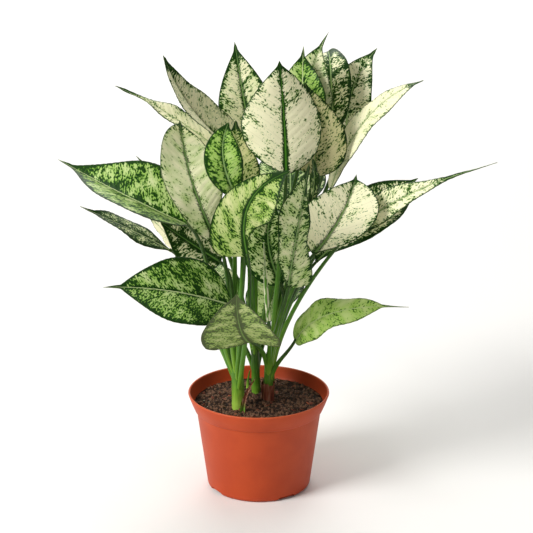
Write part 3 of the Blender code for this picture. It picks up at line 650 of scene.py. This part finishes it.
potForm = dict(
    height=109.0, rimRadius=77.5, lipRadius=1.2, collarMiddle=(73.7, 97.5), collarFoot=(70.5, 90.0),
    wallTop=(68.4, 88.4), footRadius=57.0, cornerRadius=4.5, wall=1.7, steps=192, ledgeRound=0.4,
    notches=4, notchFirst=33.0, notchWidth=21.0, notchHeight=4.3, notchDepth=10.0, notchRound=2.6)


def arcPoints(centre, radius, start, end, count):
    angles = [radians(start + (end - start) * number / count) for number in range(count + 1)]
    return [(centre[0] + radius * cos(a), centre[1] + radius * sin(a)) for a in angles]


def roundedCorners(points, radius, count=4):
    # Each inner point of a profile becomes a short curve
    made = [Vector(points[0])]
    for before, corner, after in zip(points, points[1:], points[2:]):
        corner = Vector(corner)
        arms = [Vector(end) - corner for end in (before, after)]
        first, last = (corner + arm.normalized() * min(radius, arm.length * 0.45) for arm in arms)
        for number in range(count + 1):
            t = number / count
            made.append(first * (1 - t) ** 2 + corner * 2 * t * (1 - t) + last * t * t)
    made.append(Vector(points[-1]))
    return made


def turnedPiece(name, profile, steps):
    # A closed solid turned from radii and heights that start and end on the axis.
    # Its faces are always in the same order, so what is strewn on them is the same each run
    angles = [fullTurn * number / steps for number in range(steps)]
    points = [
        (cos(angle) * radius * mm, sin(angle) * radius * mm, height * mm)
        for radius, height in profile[1:-1] for angle in angles]
    points += [(0, 0, height * mm) for _, height in (profile[0], profile[-1])]
    rings = [range(start, start + steps) for start in range(0, len(points) - 2, steps)]
    rings = [[len(points) - 2] * steps, *rings, [len(points) - 1] * steps]
    faces = []
    for before, after in zip(rings, rings[1:]):
        for number in range(steps):
            corners = (before[number - 1], after[number - 1], after[number], before[number])
            faces.append(list(dict.fromkeys(corners)))    # only three corners beside the axis
    piece = addPiece(name)
    piece.data.from_pydata(points, [], faces)
    return piece


def notchCutter(angle):
    # A block with rounded upper corners, sunk through the foot of the wall
    form = potForm
    shape = bmesh.new()
    bmesh.ops.create_cube(shape, size=1.0)
    sides = (form["notchWidth"] * mm, form["notchDepth"] * mm, 2 * form["notchHeight"] * mm)
    bmesh.ops.scale(shape, vec=sides, verts=shape.verts)
    upperEdges = [
        edge for edge in shape.edges
        if all(vert.co.z > 0 for vert in edge.verts) and abs(edge.verts[0].co.x - edge.verts[1].co.x) < mm]
    bmesh.ops.bevel(
        shape, geom=upperEdges, offset=form["notchRound"] * mm, segments=6, profile=0.5, affect="EDGES")
    cutter = shapedPiece("notchCutter", shape)
    turn = radians(angle)
    cutter.location = (sin(turn) * form["footRadius"] * mm, -cos(turn) * form["footRadius"] * mm, 0)
    cutter.rotation_euler.z = turn
    return cutter


potLook = dict(
    colour="#B9471F", worn="#D26238", deep="#9C3214", damp="#8E2E18", grainSize=0.5, flowSize=30,
    lipHeight=2.5, innerSlope=0.29, innerReach=0.7, surface=(0.5, 0.25, 0.22, 0.2))


def potMaterial():
    # Moulded plastic: terracotta colour right through, a fine matt grain, handled paler on the lip, painted
    # shade inside
    material, _, place = newMaterial("mattMouldedPlastic")
    look = potLook
    x, y, z = step("split", place)
    flow = step("noise", place, 1 / (look["flowSize"] * mm), 3.0)
    # painted shade: the inside of the pot is darker
    top, (radius, height) = potForm["height"], potForm["wallTop"]
    innerEdge = z * look["innerSlope"] + (radius - look["innerReach"] - look["innerSlope"] * height) * mm
    depthIn = innerEdge - step("SQRT", x * x + y * y)
    colour = coats(
        look, look["colour"], ("deep", flow, 0.35, 0.7, 0.0, 0.3),
        ("worn", z, (top - look["lipHeight"]) * mm, top * mm, 0.0, 0.5),
        ("damp", depthIn, -0.2 * mm, 0.3 * mm, 0.0, 0.75))
    grain = step("noise", place, 1 / (look["grainSize"] * mm), 2.0)
    return finishMaterial(material, colour, grain, *look["surface"])


def innerWall():
    form = potForm
    corner = (form["footRadius"] - form["cornerRadius"], form["cornerRadius"])
    points = arcPoints(corner, form["cornerRadius"] - form["wall"], -90, 0, 6)
    for name, rise in (("wallTop", 0), ("collarFoot", form["wall"] / 2), ("collarMiddle", 0)):
        points.append((form[name][0] - form["wall"], form[name][1] + rise))
    return points


def makePot():
    form = potForm
    lip = (form["rimRadius"] - form["lipRadius"], form["height"] - form["lipRadius"])
    corner = (form["footRadius"] - form["cornerRadius"], form["cornerRadius"])
    inner = [(0, form["wall"]), *innerWall(), (lip[0] - form["lipRadius"], lip[1])]
    outer = [
        (form["rimRadius"], lip[1]), form["collarMiddle"], form["collarFoot"], form["wallTop"],
        (form["footRadius"], form["cornerRadius"])]
    profile = roundedCorners(inner, form["ledgeRound"])[:-1] + arcPoints(lip, form["lipRadius"], 180, 0, 10)
    profile += roundedCorners(outer, form["ledgeRound"])[1:-1]
    profile += arcPoints(corner, form["cornerRadius"], 0, -90, 10) + [(0, 0)]
    pot = turnedPiece("nursery_pot", profile, form["steps"])
    pot.data.materials.append(potMaterial())
    cutters = [
        notchCutter(form["notchFirst"] + 360 * number / form["notches"]) for number in range(form["notches"])]
    for cutter in cutters:
        cut = pot.modifiers.new("Notch", "BOOLEAN")
        cut.operation = "DIFFERENCE"
        cut.object = cutter
    pot.data = bakedMesh(pot)
    pot.modifiers.clear()
    for cutter in cutters:
        bpy.data.objects.remove(cutter)
    pot.data.shade_smooth()
    pot.data.set_sharp_from_angle(angle=radians(40))
    settle(pot, "pot_plastic", "pot")


print("pot")
makePot()


# Potting mix: a lumpy filling, and crumbs, fibres and bark strewn over it

soilForm = dict(
    edgeHeight=95.5, topBand=0.3, mound=2.5, clumps=1.1, wallGap=0.4, rings=110, steps=260, lumpSize=11,
    lump=3.6, grainSize=2.4, grain=0.9, edgeFade=3.0, litterDrop=4, litterGap=1.5)
litterForm = dict(sink=0.1, rough=0.9, bendSize=9, bend=0, speckSize=0.8, surface=(0.85, 0.25, 0.5, 0.3))
litter = {
    "soil_crumbs": dict(
        form="crumb", density=260000, smallest=0.4, largest=1.8, tilt=3.1, roughSize=1.3, seed=3,
        dark="#1C110B", middle="#3C291B", pale="#7C5A44"),
    "soil_fibres": dict(
        form="fibre", density=120000, smallest=0.3, largest=1.0, tilt=0.5, sink=0.2, roughSize=1.0, rough=0.0,
        bendSize=5, bend=3.4, seed=8, dark="#2A1A12", middle="#74543E", pale="#B8967A"),
    "bark_chips": dict(
        form="chip", density=5200, smallest=0.5, largest=1.6, tilt=0.6, roughSize=2.6, seed=5,
        dark="#2B1710", middle="#683524", pale="#A35A3C"),
    "pale_grit": dict(
        form="crumb", density=900, smallest=0.35, largest=0.9, tilt=3.1, sink=0.25, roughSize=1.2, rough=0.5,
        seed=21, dark="#8F8A6A", middle="#C9C7A8", pale="#EDEBDC"),
}


def soilHeight(x, y, edgeRadius):
    form = soilForm
    level = 1 - min(1.0, hypot(x, y) / edgeRadius) ** 2
    clumps = sin(x / 8 + 0.6) * cos(y / 7 + 1.1) + 0.6 * sin((x + y) / 5 + 2.0)
    return form["edgeHeight"] + level * (form["mound"] + form["clumps"] * clumps)


def soilEdge():
    below, above = innerWall()[-2:]
    share = (soilForm["edgeHeight"] - below[1]) / (above[1] - below[1])
    return below[0] + (above[0] - below[0]) * share - soilForm["wallGap"]


def lumpTree():
    # Pushes the top of the filling up and down in lumps and grains that die out at its edge
    form = soilForm
    tree, own = newTree("soilLumps", numbers="edgeRadius floorHeight")
    place = addNode(tree, "GeometryNodeInputPosition")
    x, y, z = step("split", place)
    lump, grain = (
        step("noise", place, 1 / (form[size] * mm), 3.0) - 0.5 for size in ("lumpSize", "grainSize"))
    radius = step("SQRT", step("MULTIPLY_ADD", y, y, x * x))
    fade = step("MINIMUM", (own.edgeRadius - radius) / (form["edgeFade"] * mm), 1.0)
    rise = step("MULTIPLY_ADD", grain, 2 * form["grain"] * mm, lump * (2 * form["lump"] * mm))
    offset = step("point", 0.0, 0.0, rise * fade * step("GREATER_THAN", z, own.floorHeight))
    return endTree(tree, [own.geometry.into("SetPosition", {"Offset": offset})])


def litterTree():
    # Strews turned and scaled copies of a small shape, then bends and roughens each one differently
    tree, own = newTree(
        "soilLitter", numbers="density smallest largest tilt sink roughScale rough bendScale bend",
        counts="seed", materials="finish", shapes="shape")
    back = own.tilt * -1.0
    low, high = step("point", back, back, 0.0), step("point", own.tilt, own.tilt, fullTurn)
    turn, size, tone = (
        addNode(
            tree, "FunctionNodeRandomValue", {first: least, first + 1: most, "Seed": own.seed}, output,
            data_type=kind)
        for first, least, most, output, kind in (
            (0, low, high, 0, "FLOAT_VECTOR"), (2, own.smallest, own.largest, 1, "FLOAT"),
            (2, 0.0, 1.0, 1, "FLOAT")))
    shape = addNode(tree, "GeometryNodeObjectInfo", {"Object": own.shape, "As Instance": True}, "Geometry")
    points = own.geometry.into("DistributePointsOnFaces", {"Density": own.density, "Seed": own.seed})
    copies = points.into("InstanceOnPoints", {"Instance": shape, "Rotation": turn, "Scale": size})
    copies = copies.into(
        "StoreNamedAttribute", {"Name": "litterTone", "Value": tone}, data_type="FLOAT", domain="INSTANCE")
    place = addNode(tree, "GeometryNodeInputPosition")
    bend, rough = (
        (addNode(tree, "ShaderNodeTexNoise", {"Vector": place, "Scale": scale, "Detail": 0.0}, output=1)
         - (0.5, 0.5, 0.5)) * amount
        for scale, amount in ((own.bendScale, own.bend), (own.roughScale, own.rough)))
    push = bend + rough + step("point", 0.0, 0.0, own.sink * -mm)
    moved = copies.into("RealizeInstances").into("SetPosition", {"Offset": push})
    return endTree(tree, [moved], material=own.finish)


def litterMaterial(name, look):
    # Damp peat and bark: matt, every bit its own shade
    material, tree, place = newMaterial(name)
    tone = addNode(tree, "ShaderNodeAttribute", output="Fac", attribute_name="litterTone")
    fine = step("noise", place, 1 / (look["speckSize"] * mm), 2.0)
    colour = coats(
        look, look["dark"], ("middle", tone, 0.0, 0.6), ("pale", tone, 0.62, 1.0),
        ("dark", fine, 0.4, 0.65, 0.0, 0.45))
    return finishMaterial(material, colour, fine, *look["surface"])


soilLook = dict(
    dark="#160D08", middle="#38251A", pale="#5F4533", coarseSize=6, fineSize=1.1,
    surface=(0.9, 0.2, 0.9, 0.8))


def soilMaterial():
    # Damp potting mix: near black, with brown patches and specks
    material, _, place = newMaterial("dampPottingMix")
    look = soilLook
    coarse = step("noise", place, 1 / (look["coarseSize"] * mm), 4.0)
    fine = step("noise", place, 1 / (look["fineSize"] * mm), 3.0)
    colour = coats(
        look, look["dark"], ("middle", coarse, 0.35, 0.68), ("pale", fine, 0.55, 0.72, 0.0, 0.7))
    return finishMaterial(material, colour, fine, *look["surface"])


smallForms = dict(
    crumbRadius=1.0, fibreReach=5.0, fibreRadius=0.17, fibreTaper=0.75, chipSides=(4.2, 2.6, 0.8))


def smallShape(name):
    # The shapes that are strewn
    form = smallForms
    shape = bmesh.new()
    if name == "crumb":
        bmesh.ops.create_icosphere(shape, subdivisions=1, radius=form["crumbRadius"] * mm)
    elif name == "fibre":
        bmesh.ops.create_grid(shape, x_segments=7, y_segments=4, size=1.0)
        for vert in shape.verts:
            angle = pi * vert.co.y
            thin = form["fibreRadius"] * (1 - form["fibreTaper"] * vert.co.x ** 2)
            reach = vert.co.x * form["fibreReach"]
            vert.co = Vector((reach, cos(angle) * thin, sin(angle) * thin)) * mm
        bmesh.ops.remove_doubles(shape, verts=shape.verts, dist=0.00001)
        bmesh.ops.holes_fill(shape, edges=shape.edges)
        bmesh.ops.recalc_face_normals(shape, faces=shape.faces)
    else:
        bmesh.ops.create_cube(shape, size=1.0)
        bmesh.ops.scale(shape, vec=Vector(form["chipSides"]) * mm, verts=shape.verts)
        bmesh.ops.subdivide_edges(shape, edges=shape.edges, cuts=1, use_grid_fill=True)
    return shapedPiece(name, shape)


def makeFilling():
    form = soilForm
    edge, wall, gap = soilEdge(), innerWall(), form["wallGap"]
    floorHeight = (form["edgeHeight"] - form["topBand"]) * mm
    profile = [(edge * ring / form["rings"], form["edgeHeight"]) for ring in range(form["rings"] + 1)]
    profile += [(radius - gap, height) for radius, height in reversed(wall[7:-1])]
    profile += [(radius - gap, height + gap) for radius, height in reversed(wall[:7])]
    profile.append((0, wall[0][1] + gap))
    source = turnedPiece("potting_mix", profile, form["steps"])
    for vert in source.data.vertices:
        if vert.co.z > floorHeight:
            vert.co.z = soilHeight(vert.co.x / mm, vert.co.y / mm, edge) * mm
    values = dict(edgeRadius=edge * mm, floorHeight=floorHeight)
    filling = growPiece("potting_mix", lumpTree(), [values], source)
    filling.data.materials.append(soilMaterial())
    settle(filling, "soil", "soil")
    return filling


def strewLitter(filling):
    # Over the top of the filling, away from the wall
    form = soilForm
    lowest, reach = (form["edgeHeight"] - form["litterDrop"]) * mm, (soilEdge() - form["litterGap"]) * mm
    top = bmesh.new()
    top.from_mesh(filling.data)
    centres = {face: face.calc_center_median() for face in top.faces}
    low = [face for face, centre in centres.items() if centre.z < lowest or centre.xy.length > reach]
    bmesh.ops.delete(top, geom=low, context="FACES")
    surface = bpy.data.meshes.new("soilTop")
    top.to_mesh(surface)
    top.free()
    tree = litterTree()
    for name, own in litter.items():
        own = {**litterForm, **own}
        shape = smallShape(own["form"])
        finish = litterMaterial(name.replace("_", " ").title().replace(" ", ""), own)
        values = {**own, "shape": shape, "finish": finish}
        for change in ("rough", "bend"):
            values[change] = own[change] * mm
            values[change + "Scale"] = 1 / (own[change + "Size"] * mm)
        piece = growPiece(name, tree, [values], addPiece(name, surface.copy()))
        bpy.data.objects.remove(shape)
        settle(piece, "soil", "soil")
        print(name, len(piece.data.polygons), "faces")


print("soil")
strewLitter(makeFilling())


# Small pieces at the foot: a rolled new leaf, a withered shoot, a papery sheath and a sprout

def sheetPiece(name, form, place, material):
    # A thin sheet of rows and columns, each point put where place says for its share up and its share across
    shape = bmesh.new()
    shares = shape.verts.layers.float.new("rollShare")
    rows = []
    for row in range(form["rows"] + 1):
        made = []
        for column in range(form["columns"] + 1):
            share = column / form["columns"]
            vert = shape.verts.new(Vector(place(row / form["rows"], share)) * mm)
            vert[shares] = share
            made.append(vert)
        rows.append(made)
    for low, high in zip(rows, rows[1:]):
        for column in range(form["columns"]):
            shape.faces.new((low[column], low[column + 1], high[column + 1], high[column]))
    piece = shapedPiece(name, shape)
    piece.data.materials.append(material)
    solid = piece.modifiers.new("Thickness", "SOLIDIFY")
    solid.thickness = form["sheet"] * mm
    solid.offset = 0
    piece.data = bakedMesh(piece)
    piece.modifiers.clear()
    piece.data.shade_smooth()
    return piece


spearForm = dict(
    turns=1.35, rows=70, columns=44, sheet=0.35, inner=0.45, start=2.4, twist=0.5, ripple=0.04,
    swellStart=0.25, swellPower=0.7)
spearLook = dict(
    cream="#E4E5BE", green="#5E8F30", markWidth=2.4, markLength=11, rolledEdge=0.82,
    surface=(0.42, 0.3, 0.1, 0.3))


def spearMaterial():
    # Young leaf still rolled up: waxy cream with green marks along its rolled edge
    material, tree, place = newMaterial("waxyRolledLeaf")
    look = spearLook
    across, along = 1 / (look["markWidth"] * mm), 1 / (look["markLength"] * mm)
    marks = step("noise", place * (across, across, along), 1.0, 2.0)
    rolled = addNode(tree, "ShaderNodeAttribute", output="Fac", attribute_name="rollShare")
    edge = step("band", rolled, look["rolledEdge"], 1.0, 0.0, 0.22)
    colour = coats(look, look["cream"], ("green", marks + edge, 0.56, 0.64))
    return finishMaterial(material, colour, marks, *look["surface"])


def spearPlace(t, s):
    # One sheet wound round the midrib line, widest below its middle
    form = spearForm
    base, middle, tip = (Vector(newLeaf[end]) for end in ("base", "middle", "tip"))
    control = 2 * middle - (base + tip) / 2
    centre = (1 - t) ** 2 * base + 2 * t * (1 - t) * control + t ** 2 * tip
    swell = sin(pi * min(1.0, t + form["swellStart"])) ** form["swellPower"]
    radius = newLeaf["tipRadius"] + (newLeaf["radius"] - newLeaf["tipRadius"]) * swell
    angle = fullTurn * form["turns"] * s + form["twist"] * t + form["start"]
    ripple = 1 + form["ripple"] * sin(9 * t + 5 * s)
    reach = radius * (form["inner"] + (1 - form["inner"]) * s) * ripple
    return centre + Vector((cos(angle) * reach, sin(angle) * reach, 0))


dryLook = dict(
    brown="#7E4029", dark="#53241A", pale="#C9A587", green="#6F9C38", stripe=1.1, fibreLength=22,
    surface=(0.8, 0.3, 0.7, 0.4))


def dryMaterial(name, paleShare, greenTop):
    # Withered sheath: papery, brown and finely striped along its fibres, green where it still lives
    material, _, place = newMaterial(name)
    look = dryLook
    height = step("split", place)[2]
    across, along = 1 / (look["stripe"] * mm), 1 / (look["fibreLength"] * mm)
    fibres = step("noise", place * (across, across, along), 0.8, 3.0)
    colour = coats(
        look, look["brown"], ("pale", fibres, 0.5, 0.62, 0.0, paleShare), ("dark", fibres, 0.47, 0.36),
        ("green", height, (greenTop + 8) * mm, (greenTop - 4) * mm))
    return finishMaterial(material, colour, fibres, *look["surface"])


wrapForm = dict(
    middle=(10, 0), radius=6.6, flare=0.5, bottom=95.0, top=118.0, ragged=3.0, start=120, angle=318,
    sheet=0.5, rows=24, columns=110)


def wrapPlace(t, s):
    # A torn papery sheath that stands a little off its cane
    form = wrapForm
    angle = radians(form["start"] + form["angle"] * s)
    torn = sin(angle * 3 + 1) * 0.5 + sin(angle * 11) * 0.3 + sin(angle * 23 + 2) * 0.2
    height = form["bottom"] + (form["top"] + form["ragged"] * torn - form["bottom"]) * t
    crumple = 0.22 * sin(angle * 9 + 3 * t) + 0.12 * sin(angle * 21 + 8 * t)
    radius = form["radius"] + form["flare"] * t ** 3 + crumple * (0.4 + t)
    return form["middle"][0] + cos(angle) * radius, form["middle"][1] + sin(angle) * radius, height


sproutForm = dict(foot=(-12, 36), bend=(-13, 36, 106), top=(-10, 37, 118), radius=2.3, tipRadius=0.6, depth=6)
sproutTube = dict(groove=0.15, seed=2.2, tone=-0.4, rows=30, columns=16)
stripForm = dict(
    base=(-17, -33, 94), middle=(-14, -33, 116), tip=(-2, -31, 138), faces=(-10, 10), width=7,
    fold=38, tail=0.3, risePower=0.3, curl=-20, wave=0.4, waves=3)

print("small pieces")
settle(sheetPiece("rolled_new_leaf", spearForm, spearPlace, spearMaterial()), "new_leaf", "new_leaf")
wrapSkin = dryMaterial("paperyDriedSheath", 0.25, 0)
settle(sheetPiece("papery_sheath", wrapForm, wrapPlace, wrapSkin), "dried_sheath", "cane_sheath")
sproutFoot = Vector((*sproutForm["foot"], stemForm["soilHeight"] - sproutForm["depth"]))
bend, top = Vector(sproutForm["bend"]), Vector(sproutForm["top"])
sprout = tubeRun(
    sproutFoot, sproutFoot.lerp(bend, 0.7), bend, top, sproutForm["radius"], sproutForm["tipRadius"],
    **sproutTube)
settle(growPiece("young_sprout", tubeTree, [sprout]), "stem", "sprout")
dryStrip = dryMaterial("stripedWitheredShoot", 1.0, 104)
strip = leafValues({**leafForm, **stripForm}, 50, upper=dryStrip, under=dryStrip, rows=90, columns=15)
settle(growPiece("withered_shoot", bladeTree, [strip]), "dried_sheath", "dried_strip")
